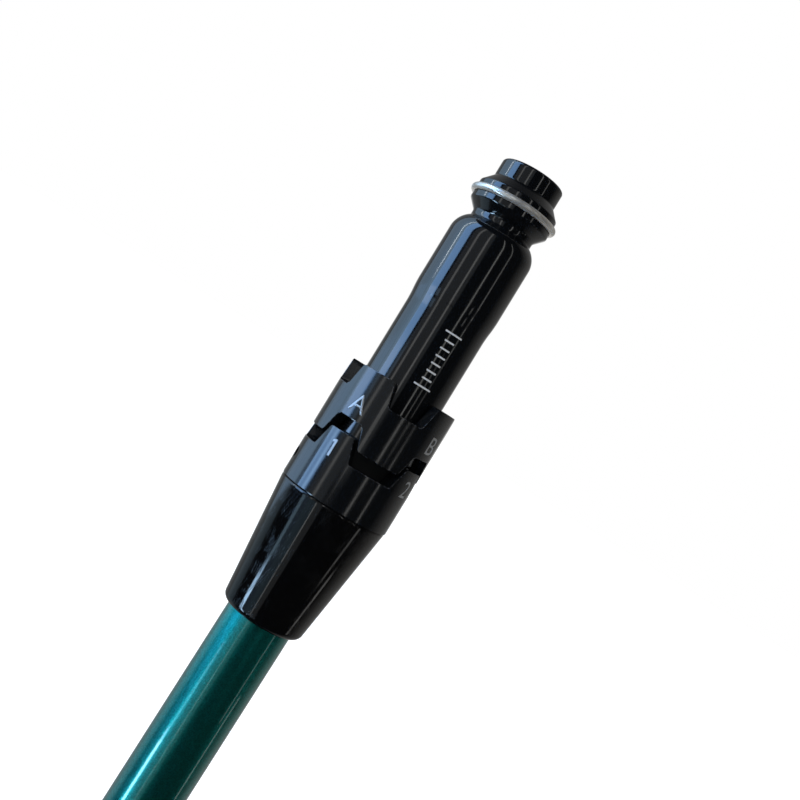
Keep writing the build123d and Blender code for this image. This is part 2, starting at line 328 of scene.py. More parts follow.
class Section:
    """A section drawn point by point: x is the radius and z the height."""

    def __init__(self, x, z):
        self.mesh = bmesh.new()
        self.first = self.end = self.mesh.verts.new((x, 0, z))
        self.held = []

    def line(self, x, z, hold=False):
        """A straight line to a point; hold keeps its shading flat up to both ends."""
        start = self.end
        self.end = bmesh.ops.extrude_vert_indiv(self.mesh, verts=[start])["verts"][0]
        self.end.co = (x, 0, z)
        if hold:
            self.held.append((start.co.copy(), self.end.co.copy()))
        return self.end

    def arc(self, x, z, angle, steps):
        """An arc about a centre; a positive angle turns from +X towards -Z."""
        made = bmesh.ops.spin(
            self.mesh, geom=[self.end], cent=(x, 0, z), axis=(0, 1, 0), angle=angle, steps=steps
        )
        self.end = points_in(made["geom_last"])[0]

    def close(self):
        """Joins the last point to the first."""
        self.mesh.edges.new((self.end, self.first))

    def round(self, corner, reach, steps=5):
        """Rounds a corner over this reach along both of its lines."""
        bmesh.ops.bevel(
            self.mesh, geom=[corner], offset=reach, offset_type="OFFSET", segments=steps, profile=0.5,
            affect="VERTICES", material=-1,
        )

    def holding_points(self, gap=0.06):
        """Adds a point close to both ends of each held line."""
        for start, finish in self.held:
            along = (finish - start).normalized()
            for edge in list(self.mesh.edges):
                a, b = edge.verts
                on_line = all(
                    (v.co - start).cross(along).length < SAME
                    and -SAME < (v.co - start).dot(along) < (finish - start).length + SAME
                    for v in (a, b)
                )
                if on_line and edge.calc_length() > 6 * gap:
                    _, middle = bmesh.utils.edge_split(edge, a, gap / edge.calc_length())
                    rest = [e for e in middle.link_edges if b in e.verts][0]
                    bmesh.utils.edge_split(rest, b, gap / rest.calc_length())

    def revolve(self, columns):
        """Spins the section a quarter round Z, and copies the quarter into a closed shell."""
        self.holding_points()
        shell = self.mesh
        spin(shell, all_of(shell), math.pi / 2, columns // 4)
        quarter = all_of(shell)
        for place in (1, 2, 3):
            copy = bmesh.ops.duplicate(shell, geom=quarter)["geom"]
            rotate(shell, points_in(copy), place * math.pi / 2, "Z")
        weld(shell)
        face_outwards(shell)
        return shell


def face_outwards(shell):
    """Turns every face of a closed shell outwards."""
    bmesh.ops.recalc_face_normals(shell, faces=shell.faces[:])
    if shell.calc_volume(signed=True) < 0:
        bmesh.ops.reverse_faces(shell, faces=shell.faces[:])


def notch_drop(across, depth, lean, corner):
    """How far an edge lies below its crown at this distance across a flank.

    across is measured from the flank's mid height and grows towards the notch."""
    run = depth / 2 * math.tan(lean)
    reach = corner * math.cos(lean) / (1 + math.sin(lean))
    outer, inner = run + reach, run - reach * math.sin(lean)
    if abs(across) >= outer:
        return depth if across > 0 else 0.0
    if abs(across) <= inner:
        return depth / 2 + across / math.tan(lean)
    sagitta = corner - math.sqrt(max(0.0, corner**2 - (outer - abs(across)) ** 2))
    return depth - sagitta if across > 0 else sagitta


def cut_teeth(crown, centre, half, depth, lean, corner, teeth, downwards):
    """Lowers or raises the crown's points into notches round the axis."""
    pitch = 2 * math.pi / teeth
    for point in crown:
        radius = math.hypot(point.co.x, point.co.y)
        offset = (math.atan2(point.co.y, point.co.x) - centre + pitch / 2) % pitch - pitch / 2
        across = radius * math.sin(half - abs(offset))
        drop = notch_drop(across, depth, lean, corner)
        point.co.z += -drop if downwards else drop


def at(shell, radius, z, near=1e-3):
    """The shell's points at this radius and height."""
    return [
        v for v in shell.verts
        if abs(v.co.z - z) < near and abs(math.hypot(v.co.x, v.co.y) - radius) < near
    ]


def once_each(edges):
    """The edges without repeats, in the same order at every run."""
    return list(dict.fromkeys(edges))


def loop_edges(points):
    """The edges that join these points."""
    inside = set(points)
    return once_each(e for v in points for e in v.link_edges if e.other_vert(v) in inside)


def break_edges(shell, edges, size, steps, worn_and_highlight=None):
    """Breaks an edge, marks its borders as sharp and, given the layer, marks the break as worn and as a
    painted edge highlight.
    """
    made = bmesh.ops.bevel(
        shell, geom=edges, offset=size, offset_type="OFFSET", segments=steps, profile=0.5,
        affect="EDGES", clamp_overlap=True, material=-1,
    )
    new = set(made["faces"])
    for face in made["faces"]:
        for edge in face.edges:
            if len(edge.link_faces) == 2 and not all(f in new for f in edge.link_faces):
                edge.smooth = False
        if worn_and_highlight:
            face[worn_and_highlight] = 1.0


def wear_and_highlight_layer(shell):
    """The layer that holds how worn each face is, which also places the painted edge highlight."""
    return shell.faces.layers.float.new("wear_and_highlight")


def tilt_down(shell, points):
    """Turns points about the pivot, from the sleeve's axis to the shaft's."""
    s = sizes(bpy.context.scene.adapter_shaft)
    rotate(shell, points, s.tilt, "Y", (0, 0, -s.pivot))


def sharpen(shell, limit=32.0):
    """Smooth shading everywhere, with hard edges sharp."""
    for face in shell.faces:
        face.smooth = True
    for edge in shell.edges:
        if len(edge.link_faces) == 2 and edge.calc_face_angle(0.0) > math.radians(limit):
            edge.smooth = False


def placed(name, shell):
    """Makes an object, in metres, from a shell drawn in millimetres."""
    bmesh.ops.scale(shell, vec=(0.001, 0.001, 0.001), verts=shell.verts[:])
    mesh = bpy.data.meshes.new(name)
    shell.to_mesh(mesh)
    shell.free()
    made = bpy.data.objects.new(name, mesh)
    bpy.context.scene.collection.objects.link(made)
    return made


def finished(name, shell, body, materials, replaces=()):
    """Places a piece, gives it the named materials and puts it on its body."""
    piece = placed(name, shell)
    for material in materials:
        piece.data.materials.append(bpy.data.materials[material])
    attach(piece, body)
    if replaces:
        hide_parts(*replaces)
    return piece


# --- Shader groups ---


class Nodes:
    """Short hand for building a node tree."""

    def __init__(self, tree):
        self.tree = tree

    def add(self, kind, settings=None, **inputs):
        """A node with its settings, and its inputs as values or as other nodes' outputs."""
        node = self.tree.nodes.new(kind)
        for name, value in (settings or {}).items():
            setattr(node, name, value)
        for name, value in inputs.items():
            key = int(name[1:]) if name[0] == "i" and name[1:].isdigit() else name.replace("_", " ")
            if isinstance(value, bpy.types.NodeSocket):
                self.tree.links.new(value, node.inputs[key])
            else:
                node.inputs[key].default_value = value
        return node

    def maths(self, operation, first, second=0.0, clamp=False):
        """The result of one sum."""
        settings = {"operation": operation, "use_clamp": clamp}
        return self.add("ShaderNodeMath", settings, i0=first, i1=second).outputs[0]

    def raised(self, base, value, gain):
        """The base, plus the value times the gain."""
        return self.maths("ADD", base, self.maths("MULTIPLY", value, gain))

    def per_metre(self, millimetres):
        """How many steps of this size there are in a metre."""
        return self.maths("DIVIDE", 1000.0, millimetres)

    def noise(self, place, scale, detail, roughness=0.5):
        """Plain noise."""
        return self.add(
            "ShaderNodeTexNoise", Vector=place, Scale=scale, Detail=detail, Roughness=roughness
        ).outputs[0]

    def ramp(self, factor, stops):
        """A ramp through (position, grey or colour) stops."""
        node = self.add("ShaderNodeValToRGB", Fac=factor)
        elements = node.color_ramp.elements
        while len(elements) < len(stops):
            elements.new(0.5)
        for element, (place, value) in zip(elements, stops):
            element.position = place
            element.color = (value, value, value, 1) if isinstance(value, (int, float)) else (*value, 1)
        return node.outputs[0]

    def mix(self, factor, first, second, blend="MIX"):
        """A mix of two colours."""
        settings = {"data_type": "RGBA", "blend_type": blend}
        return self.add("ShaderNodeMix", settings, i0=factor, i6=first, i7=second).outputs[2]

    def object_place(self):
        """The point in the object's own coordinates."""
        return self.add("ShaderNodeTexCoord").outputs["Object"]

    def polar_place(self):
        """Angle, radius and height of the point on the sleeve's axis."""
        x, y, z = self.add("ShaderNodeSeparateXYZ", Vector=self.object_place()).outputs
        squares = self.maths("ADD", self.maths("MULTIPLY", x, x), self.maths("MULTIPLY", y, y))
        return self.maths("ARCTAN2", y, x), self.maths("SQRT", squares), z


FLOAT = "NodeSocketFloat"


def group(name, inputs, outputs):
    """A new shader group with these float inputs and outputs."""
    tree = bpy.data.node_groups.new(name, "ShaderNodeTree")
    for socket, default in inputs.items():
        made = tree.interface.new_socket(socket, in_out="INPUT", socket_type=FLOAT)
        made.default_value = default
    for socket in outputs:
        tree.interface.new_socket(socket, in_out="OUTPUT", socket_type=FLOAT)
    n = Nodes(tree)
    return n, n.add("NodeGroupInput").outputs, n.add("NodeGroupOutput").inputs


def turned_lines_group(name):
    """Fine lines left by turning: they follow the height on a wall and the radius on a face."""
    n, given, out = group(name, {"Lines per mm": 12.0, "Amount": 1.0}, ["Height"])
    angle, radius, z = n.polar_place()
    travel = n.maths("MULTIPLY", n.maths("ADD", z, radius), n.maths("MULTIPLY", given[0], 1000.0))
    where = n.add("ShaderNodeCombineXYZ", X=travel, Y=n.maths("MULTIPLY", angle, 0.6))
    fine = n.noise(where.outputs[0], 1.0, 3.0, 0.65)
    n.tree.links.new(n.maths("MULTIPLY", fine, given[1]), out[0])


def grain_group(name):
    """Even grain of a blasted or moulded surface, with a slower change over it."""
    n, given, out = group(name, {"Size mm": 0.06, "Cloud mm": 3.0}, ["Height", "Cloud"])
    place = n.object_place()
    n.tree.links.new(n.noise(place, n.per_metre(given[0]), 2.0), out[0])
    n.tree.links.new(n.noise(place, n.per_metre(given[1]), 4.0, 0.6), out[1])


def scratches_group(name):
    """Hairline scratches in two slanting directions, broken into short runs."""
    n, given, out = group(name, {"Spacing mm": 0.5, "Keep": 0.3}, ["Mask"])
    angle, radius, z = n.polar_place()
    arc = n.maths("MULTIPLY", n.maths("MULTIPLY", angle, radius), 1000.0)
    height = n.maths("MULTIPLY", z, 1000.0)
    limit = n.raised(0.22, given[1], 0.8)
    found = []
    for slant, layer in ((0.30, 3.0), (-0.12, 11.0)):
        across = n.maths("ADD", arc, n.maths("MULTIPLY", height, slant))
        along = n.maths("SUBTRACT", n.maths("MULTIPLY", arc, slant), height)
        lines = n.add(
            "ShaderNodeCombineXYZ", X=n.maths("DIVIDE", across, given[0]),
            Y=n.maths("MULTIPLY", along, 0.04), Z=layer,
        )
        # A line runs wherever the noise crosses its middle value.
        off_middle = n.maths("SUBTRACT", n.noise(lines.outputs[0], 1.0, 2.0, 0.8), 0.5)
        line = n.ramp(n.maths("ABSOLUTE", off_middle), [(0.0, 1.0), (0.006, 0.0)])
        spot = n.add("ShaderNodeCombineXYZ", X=arc, Y=height, Z=layer)
        kept = n.maths("LESS_THAN", n.noise(spot.outputs[0], 0.35, 3.0), limit)
        found.append(n.maths("MULTIPLY", line, kept))
    n.tree.links.new(n.maths("MAXIMUM", *found), out[0])


def wear_and_highlight_group(name):
    """Wear and a painted highlight along marked edges, broken up by grain."""
    n, given, out = group(name, {"Amount": 0.6, "Break mm": 0.5}, ["Mask"])
    worn_and_highlight = n.add("ShaderNodeAttribute", {"attribute_name": "wear_and_highlight"}).outputs["Fac"]
    patch = n.noise(n.object_place(), n.per_metre(given[1]), 5.0, 0.7)
    # Where this mask is high, the edge gets worn metal and a painted highlight.
    broken = n.maths("MULTIPLY", worn_and_highlight, n.ramp(patch, [(0.50, 0.0), (0.70, 1.0)]))
    n.tree.links.new(n.maths("MULTIPLY", broken, given[0], clamp=True), out[0])


def flake_group(name):
    """Metallic flakes: small cells, each with its own tilt and brightness."""
    n, given, out = group(name, {"Size mm": 0.06, "Tilt": 0.25}, ["Glint", "Height"])
    cells = n.add("ShaderNodeTexVoronoi", Vector=n.object_place(), Scale=n.per_metre(given[0]))
    own = n.add("ShaderNodeSeparateXYZ", Vector=cells.outputs["Color"]).outputs
    n.tree.links.new(own[0], out[0])
    n.tree.links.new(n.maths("MULTIPLY", own[1], given[1]), out[1])


SHARED_GROUPS = {
    "turned_lines": turned_lines_group,
    "fine_grain": grain_group,
    "hair_scratches": scratches_group,
    "edge_wear_and_highlight": wear_and_highlight_group,
    "lacquer_flake": flake_group,
}


# --- Materials ---


def new_material(name):
    """A new material, its nodes and its shader."""
    material = bpy.data.materials.new(name)
    material.use_nodes = True
    return material, Nodes(material.node_tree), material.node_tree.nodes["Principled BSDF"]


def place_group(n, name, **inputs):
    """Places a shared group in a material, built the first time it is asked for."""
    if name not in bpy.data.node_groups:
        SHARED_GROUPS[name](name)
    node = n.add("ShaderNodeGroup", {"node_tree": bpy.data.node_groups[name]})
    for socket, value in inputs.items():
        node.inputs[socket.replace("_", " ")].default_value = value
    return node.outputs


def set_shader(shader, **values):
    """Sets the shader's own sockets."""
    for name, value in values.items():
        shader.inputs[name.replace("_", " ")].default_value = value


def link_shader(n, shader, colour_made, rough, heights):
    """Links a colour, a roughness and the relief of several heights, each with its depth in mm."""
    n.tree.links.new(colour_made, shader.inputs["Base Color"])
    n.tree.links.new(rough, shader.inputs["Roughness"])
    normal = None
    for height, depth in heights:
        bump = n.add("ShaderNodeBump", Height=height, Strength=1.0, Distance=depth / 1000)
        if normal is not None:
            n.tree.links.new(normal, bump.inputs["Normal"])
        normal = bump.outputs[0]
    n.tree.links.new(normal, shader.inputs["Normal"])


def shade(base, factor=1.0):
    """A colour made darker or lighter."""
    return (*(min(1.0, value * factor) for value in base), 1)


def anodised(name, base, worn_and_highlight, rough, lines, grain, shine=0.5):
    """Black anodised aluminium: turned lines, grain, and worn edges that also carry a painted highlight.
    """
    _, n, shader = new_material(name)
    (turned,) = place_group(n, "turned_lines", Lines_per_mm=14.0)
    height, cloud = place_group(n, "fine_grain", Size_mm=0.05, Cloud_mm=2.5)
    (wear_and_highlight,) = place_group(n, "edge_wear_and_highlight", Amount=0.75, Break_mm=0.35)
    tone = n.mix(n.maths("MULTIPLY", cloud, 0.5), shade(base), shade(base, 1.8))
    gloss = n.raised(n.raised(rough, n.maths("SUBTRACT", cloud, 0.5), 0.10), wear_and_highlight, 0.12)
    # The broken edges turn lighter and more metallic: partly worn metal, partly a painted edge highlight.
    link_shader(n, shader, n.mix(wear_and_highlight, tone, shade(worn_and_highlight)), gloss, [(turned, lines), (height, grain)])
    n.tree.links.new(n.maths("MULTIPLY", wear_and_highlight, 0.8), shader.inputs["Metallic"])
    set_shader(shader, IOR=1.6, Specular_IOR_Level=shine)


def drawn_wire(base):
    """Stainless spring wire with the lines of its drawing."""
    _, n, shader = new_material("drawn_wire")
    height, cloud = place_group(n, "fine_grain", Size_mm=0.05, Cloud_mm=0.9)
    (drawn,) = place_group(n, "turned_lines", Lines_per_mm=22.0)
    tone = n.mix(cloud, shade(base, 0.72), shade(base))
    link_shader(n, shader, tone, n.raised(0.22, drawn, 0.16), [(drawn, 0.0012), (height, 0.0008)])
    set_shader(shader, Metallic=0.78)


def polished_ferrule(base, scratch):
    """Polished black plastic with hairline scratches."""
    _, n, shader = new_material("polished_ferrule")
    height, cloud = place_group(n, "fine_grain", Size_mm=0.4, Cloud_mm=4.0)
    (hair,) = place_group(n, "hair_scratches", Spacing_mm=0.4, Keep=0.30)
    tone = n.mix(n.maths("MULTIPLY", hair, 0.04), shade(base), shade(scratch))
    gloss = n.raised(n.raised(0.05, cloud, 0.06), hair, 0.18)
    link_shader(n, shader, tone, gloss, [(height, 0.0006), (hair, -0.003)])
    set_shader(shader, IOR=1.5)


def teal_lacquer(base, flake):
    """Metallic lacquer with flakes under a clear coat."""
    _, n, shader = new_material("teal_lacquer")
    glint, tilt = place_group(n, "lacquer_flake", Size_mm=0.12, Tilt=1.0)
    _, cloud = place_group(n, "fine_grain", Size_mm=0.5, Cloud_mm=6.0)
    tone = n.mix(n.maths("MULTIPLY", glint, 0.42), shade(base), shade(flake))
    link_shader(n, shader, tone, n.raised(0.27, cloud, 0.06), [(tilt, 0.004)])
    set_shader(shader, Metallic=0.95, IOR=1.5, Coat_Weight=1.0, Coat_Roughness=0.03, Coat_IOR=1.5)


def bare_laminate(base):
    """Bare wound laminate, sanded across."""
    _, n, shader = new_material("bare_laminate")
    (turned,) = place_group(n, "turned_lines", Lines_per_mm=9.0)
    height, _ = place_group(n, "fine_grain", Size_mm=0.08, Cloud_mm=1.2)
    tone = n.mix(turned, shade(base), shade(base, 2.6))
    link_shader(n, shader, tone, n.raised(0.42, height, 0.2), [(turned, 0.02), (height, 0.01)])


def etched(name, base, metallic):
    """An etched mark: fine bright grain."""
    _, n, shader = new_material(name)
    height, cloud = place_group(n, "fine_grain", Size_mm=0.07, Cloud_mm=0.6)
    tone = n.mix(height, shade(base, 0.75), shade(base, 1.25))
    link_shader(n, shader, tone, n.raised(0.33, cloud, 0.15), [(height, 0.004)])
    set_shader(shader, Metallic=metallic)


def cast(name, base, dark, light, size, cloud_size, rough, change, depth):
    """A cast or moulded filling: clouds of tone over an even grain."""
    _, n, shader = new_material(name)
    height, cloud = place_group(n, "fine_grain", Size_mm=size, Cloud_mm=cloud_size)
    tone = n.mix(cloud, shade(base, dark), shade(base, light))
    link_shader(n, shader, tone, n.raised(rough, height, change), [(height, depth)])


def make_materials(c):
    """Every finish."""
    anodised("black_anodised_polished", c.sleeve, c.worn_and_highlight, rough=0.085, lines=0.0003, grain=0.0002)
    anodised("black_anodised_satin", c.ring, c.worn_and_highlight, rough=0.13, lines=0.0006, grain=0.0004)
    anodised("black_anodised_matt", c.sleeve, c.worn_and_highlight, rough=0.55, lines=0.0006, grain=0.0010, shine=0.2)
    drawn_wire(c.wire)
    polished_ferrule(c.ferrule, c.scratch)
    teal_lacquer(c.lacquer, c.flake)
    bare_laminate(c.laminate)
    etched("etched_mark", c.etch, metallic=0.0)
    etched("etched_satin_mark", [value * 0.80 for value in c.etch], metallic=0.7)
    cast(
        "cured_adhesive", c.adhesive, dark=0.7, light=1.0, size=0.3, cloud_size=2.0, rough=0.2,
        change=0.2, depth=0.01,
    )
    cast(
        "soft_rubber", c.rubber, dark=1.0, light=1.8, size=0.1, cloud_size=1.5, rough=0.65,
        change=0.15, depth=0.015,
    )


# --- Operators ---

POLISHED, SATIN, MATT = range(3)
SLEEVE_FINISHES = ("black_anodised_polished", "black_anodised_satin", "black_anodised_matt")


class ADAPTER_OT_finishes(Operator):
    """Makes every finish and gives the hidden pieces theirs"""

    bl_idname = "adapter.finishes"
    bl_label = "Finishes"

    def execute(self, context):
        make_materials(context.scene.adapter_colours)
        for node, finish in (
            ("adapter_sleeve", "black_anodised_polished"), ("index_ring", "black_anodised_satin"),
            ("snap_ring", "drawn_wire"), ("ferrule", "polished_ferrule"), ("shaft_tip", "teal_lacquer"),
            ("epoxy_bond", "cured_adhesive"), ("tip_plug", "soft_rubber"),
        ):
            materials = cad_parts[node].data.materials
            materials.clear()
            materials.append(bpy.data.materials[finish])
        return {"FINISHED"}


class ADAPTER_OT_sleeve(Operator):
    """Makes the turned sleeve with its toothed flange and dimple"""

    bl_idname = "adapter.sleeve"
    bl_label = "Sleeve"

    row = 0.1  # height of the narrow row of faces just above the teeth's crowns

    def execute(self, context):
        s = sizes(context.scene.adapter_sleeve)
        t = sizes(context.scene.adapter_teeth)
        shaft = sizes(context.scene.adapter_shaft)
        wire = sizes(context.scene.adapter_wire)
        shell = self.section(s, wire.hoop_radius).revolve(t.columns)
        worn_and_highlight = wear_and_highlight_layer(shell)
        inner, outer = at(shell, s.lower_radius, -s.crown), at(shell, s.flange_radius, -s.crown)
        rim = at(shell, s.flange_radius, -s.seam)
        tilted = [v for v in shell.verts if v.co.z < -s.seam + SAME and v not in set(rim)]
        tilted += [v for v in shell.verts if abs(v.co.z + s.bore_end) < SAME]
        cut_teeth(
            inner + outer, t.direction + math.pi / t.teeth, t.flange_half, s.tooth_depth, t.flange_lean,
            t.corner, t.teeth, True,
        )
        tilt_down(shell, tilted)
        # The rim comes down to the plane of the ferrule's face, which is tilted about the pivot.
        lever = s.seam - shaft.pivot
        lift, aside = lever * (1 - math.cos(shaft.tilt)), lever * math.sin(shaft.tilt)
        for point in rim:
            point.co.z += lift - (point.co.x + aside) * math.tan(shaft.tilt)
        # The flange's crown edges get the worn colour, which is also a painted edge highlight.
        break_edges(shell, loop_edges(outer), s.edge_break, 2, worn_and_highlight)
        break_edges(shell, loop_edges(rim), s.edge_break * 1.3, 2)
        sharpen(shell)
        piece = finished(
            "sleeve_body", shell, "adapter", SLEEVE_FINISHES, ["adapter_sleeve"]
        )
        self.choose_finishes(piece, s)
        self.sink_dimple(context, piece, s)
        return {"FINISHED"}

    def section(self, s, groove_middle):
        """The sleeve's section, from the drill point out over the tip and back up the bore."""
        p = Section(0, -s.drill_point)
        p.line(s.hole_radius, -s.hole_end)
        p.line(s.hole_radius, -s.thread_end - s.thread_runout)
        p.line(s.thread_radius, -s.thread_end)
        p.line(s.thread_radius, -s.thread_mouth)
        p.line(s.thread_radius + s.thread_mouth, 0)
        tip_edge = p.line(s.tip_radius, 0)
        flare_foot = p.line(s.tip_radius, -s.tip_end, hold=True)
        flare_top = p.line(s.collar_radius, -s.flare_end, hold=True)
        half_open = math.acos((groove_middle - s.collar_radius) / s.groove_radius)
        groove_reach = s.groove_radius * math.sin(half_open)
        p.line(s.collar_radius, -s.groove_depth + groove_reach, hold=True)
        p.arc(groove_middle, -s.groove_depth, -2 * half_open, 20)
        collar_foot = p.line(s.collar_radius, -s.collar_end, hold=True)
        neck_top = p.line(s.neck_radius, -s.cone_end, hold=True)
        neck_foot = p.line(s.neck_radius, -s.neck_end)
        # The shoulder's arc is tangent to the upper body.
        rise, reach = s.shoulder_end - s.neck_end, s.upper_radius - s.neck_radius
        arc_radius = (rise**2 + reach**2) / (2 * reach)
        p.arc(s.upper_radius - arc_radius, -s.shoulder_end, math.asin(rise / arc_radius), 24)
        p.end.co = (s.upper_radius, 0, -s.shoulder_end)
        step_top = p.line(s.upper_radius, -s.upper_end - s.step_lead, hold=True)
        step_foot = p.line(s.lower_radius, -s.lower_start + s.step_lead)
        p.line(s.lower_radius, -s.crown + self.row)
        p.line(s.lower_radius, -s.crown)
        p.line(s.flange_radius, -s.crown)
        p.line(s.flange_radius, -s.seam)
        p.line(s.spigot_radius, -s.seam)
        spigot_end = -s.seam - s.spigot_length
        p.line(s.spigot_radius, spigot_end + s.spigot_chamfer)
        p.line(s.spigot_radius - s.spigot_chamfer, spigot_end)
        p.line(s.bore_radius + s.bore_chamfer, spigot_end)
        p.line(s.bore_radius, spigot_end + s.bore_chamfer)
        p.line(s.bore_radius, -s.bore_end)
        p.line(0, -s.bore_end)
        for corner, round_reach, steps in (
            (tip_edge, s.tip_round, 6), (flare_foot, s.flare_round, 3), (flare_top, s.flare_round, 3),
            (collar_foot, s.collar_round, 3), (neck_top, s.neck_top_round, 6),
            (neck_foot, s.neck_foot_round, 8), (step_top, s.step_round, 10), (step_foot, s.step_round, 10),
        ):
            p.round(corner, round_reach, steps)
        return p

    def choose_finishes(self, piece, s, margin=0.02):
        """Satin for the flange and matt for the wall between its teeth."""
        for face in piece.data.polygons:
            depth, radius = -face.center.z * 1000, face.center.xy.length * 1000
            if depth > s.crown - 2 * self.row and radius > s.lower_radius + margin:
                face.material_index = SATIN
            elif depth > s.crown - self.row and radius > s.lower_radius - margin:
                face.material_index = MATT

    def sink_dimple(self, context, piece, s):
        """Cuts the blind dimple into the flange."""
        cutter = bmesh.new()
        bmesh.ops.create_cone(
            cutter, cap_ends=True, segments=48, radius1=s.dimple_radius, radius2=s.dimple_radius,
            depth=2 * s.dimple_sink,
        )
        bottom = [e for e in cutter.edges if all(v.co.z < 0 for v in e.verts)]
        bmesh.ops.bevel(
            cutter, geom=bottom, offset=s.dimple_round, offset_type="OFFSET", segments=4, profile=0.5,
            affect="EDGES", material=-1,
        )
        for face in cutter.faces:
            face.material_index = MATT
        outward = Vector((math.cos(s.dimple_direction), math.sin(s.dimple_direction), 0))
        spot = outward * s.flange_radius - Vector((0, 0, s.dimple_depth))
        turn_out = outward.to_track_quat("Z", "Y").to_matrix().to_4x4()
        bmesh.ops.transform(cutter, matrix=Matrix.Translation(spot) @ turn_out, verts=cutter.verts[:])
        tool = placed("dimple_cutter", cutter)
        cut = piece.modifiers.new("dimple", "BOOLEAN")
        cut.operation, cut.solver, cut.object = "DIFFERENCE", "EXACT", tool
        context.view_layer.update()
        done = bpy.data.meshes.new_from_object(piece.evaluated_get(context.evaluated_depsgraph_get()))
        piece.modifiers.clear()
        piece.data = done
        bpy.data.objects.remove(tool)


class ADAPTER_OT_thread(Operator):
    """Makes the thread's ridge inside the tip"""

    bl_idname = "adapter.thread"
    bl_label = "Thread"

    def execute(self, context):
        s = sizes(context.scene.adapter_sleeve)
        start, spare = 0.5, 0.9  # the ridge's first depth, and the length of thread it leaves free
        crest, foot, sunk = 0.06, 0.32, 0.03  # its half widths, and how far its foot is in the wall
        steps, turns = 64, int((s.thread_end - spare) / s.thread_pitch)
        wall = s.thread_radius + sunk
        corners = (wall, foot), (s.hole_radius, crest), (s.hole_radius, -crest), (wall, -foot)
        ridge = bmesh.new()
        ridge.faces.new([ridge.verts.new((x, 0, z - start)) for x, z in corners])
        spin(ridge, ridge.faces[:], 2 * math.pi * turns, steps * turns, -s.thread_pitch / steps)
        weld(ridge)
        face_outwards(ridge)
        sharpen(ridge)
        finished("tip_thread", ridge, "adapter", ["black_anodised_polished"])
        return {"FINISHED"}


class ADAPTER_OT_ring(Operator):
    """Makes the loose index ring with teeth at both ends"""

    bl_idname = "adapter.ring"
    bl_label = "Index ring"

    def execute(self, context):
        s = sizes(context.scene.adapter_ring)
        t = sizes(context.scene.adapter_teeth)
        p = Section(s.bore_radius, RING_HIGH)
        p.line(s.outer_radius, RING_HIGH)
        p.line(s.outer_radius, RING_LOW)
        p.line(s.bore_radius, RING_LOW)
        p.close()
        shell = p.revolve(t.columns)
        worn_and_highlight = wear_and_highlight_layer(shell)
        bores = [at(shell, s.bore_radius, z) for z in (RING_HIGH, RING_LOW)]
        rims = [at(shell, s.outer_radius, z) for z in (RING_HIGH, RING_LOW)]
        cut_teeth(
            bores[0] + rims[0], t.direction + math.pi / t.teeth, t.upper_half, s.upper_depth,
            t.upper_lean, t.corner, t.teeth, True,
        )
        cut_teeth(
            bores[1] + rims[1], t.direction, t.lower_half, s.lower_depth, t.flange_lean, t.corner,
            t.teeth, False,
        )
        bore_edges = loop_edges(bores[0]) + loop_edges(bores[1])
        rim_edges = loop_edges(rims[0]) + loop_edges(rims[1])
        # The ring's rim and bore edges get the worn colour, which is also a painted edge highlight.
        break_edges(shell, rim_edges, s.edge_break, 2, worn_and_highlight)
        break_edges(shell, bore_edges, s.bore_break, 1, worn_and_highlight)
        sharpen(shell)
        finished(
            "index_ring_body", shell, "ring", ["black_anodised_satin"], ["index_ring"]
        )
        return {"FINISHED"}


class ADAPTER_OT_wire(Operator):
    """Makes the retaining ring of round wire with its gap"""

    bl_idname = "adapter.wire"
    bl_label = "Retaining wire"

    def execute(self, context):
        s = sizes(context.scene.adapter_wire)
        hoop = bmesh.new()
        bmesh.ops.create_circle(hoop, cap_ends=True, segments=32, radius=s.wire_radius)
        rotate(hoop, hoop.verts[:], math.pi / 2, "X")
        middle = (WIRE_LOW + WIRE_HIGH) / 2
        bmesh.ops.translate(hoop, vec=(s.hoop_radius, 0, middle), verts=hoop.verts[:])
        rotate(hoop, hoop.verts[:], s.gap_direction + s.gap / 2, "Z")
        spin(hoop, hoop.faces[:], 2 * math.pi - s.gap, 240)
        weld(hoop)
        face_outwards(hoop)
        worn_and_highlight = wear_and_highlight_layer(hoop)
        end_edges = once_each(e for f in hoop.faces if len(f.verts) > 4 for e in f.edges)
        # The wire's cut ends are marked as worn, which also places a painted edge highlight.
        break_edges(hoop, end_edges, s.end_break, 3, worn_and_highlight)
        sharpen(hoop)
        finished("retaining_wire", hoop, "retainer", ["drawn_wire"], ["snap_ring"])
        return {"FINISHED"}


class ADAPTER_OT_ferrule(Operator):
    """Makes the tapered ferrule"""

    bl_idname = "adapter.ferrule"
    bl_label = "Ferrule"

    def execute(self, context):
        s = sizes(context.scene.adapter_ferrule)
        seam = -sizes(context.scene.adapter_sleeve).seam
        p = Section(s.socket_radius, seam)
        top = p.line(s.top_radius, seam)
        foot = p.line(s.end_radius, seam - s.ferrule_length, hold=True)
        p.line(s.bore_radius, seam - s.ferrule_length)
        p.line(s.bore_radius, seam - s.socket_depth, hold=True)
        p.line(s.socket_radius, seam - s.socket_depth)
        p.close()
        p.round(top, s.top_round, 6)
        p.round(foot, s.end_round * 0.9, 12)
        shell = p.revolve(PLAIN_COLUMNS)
        tilt_down(shell, shell.verts[:])
        sharpen(shell)
        finished("ferrule_shell", shell, "adapter", ["polished_ferrule"], ["ferrule"])
        return {"FINISHED"}


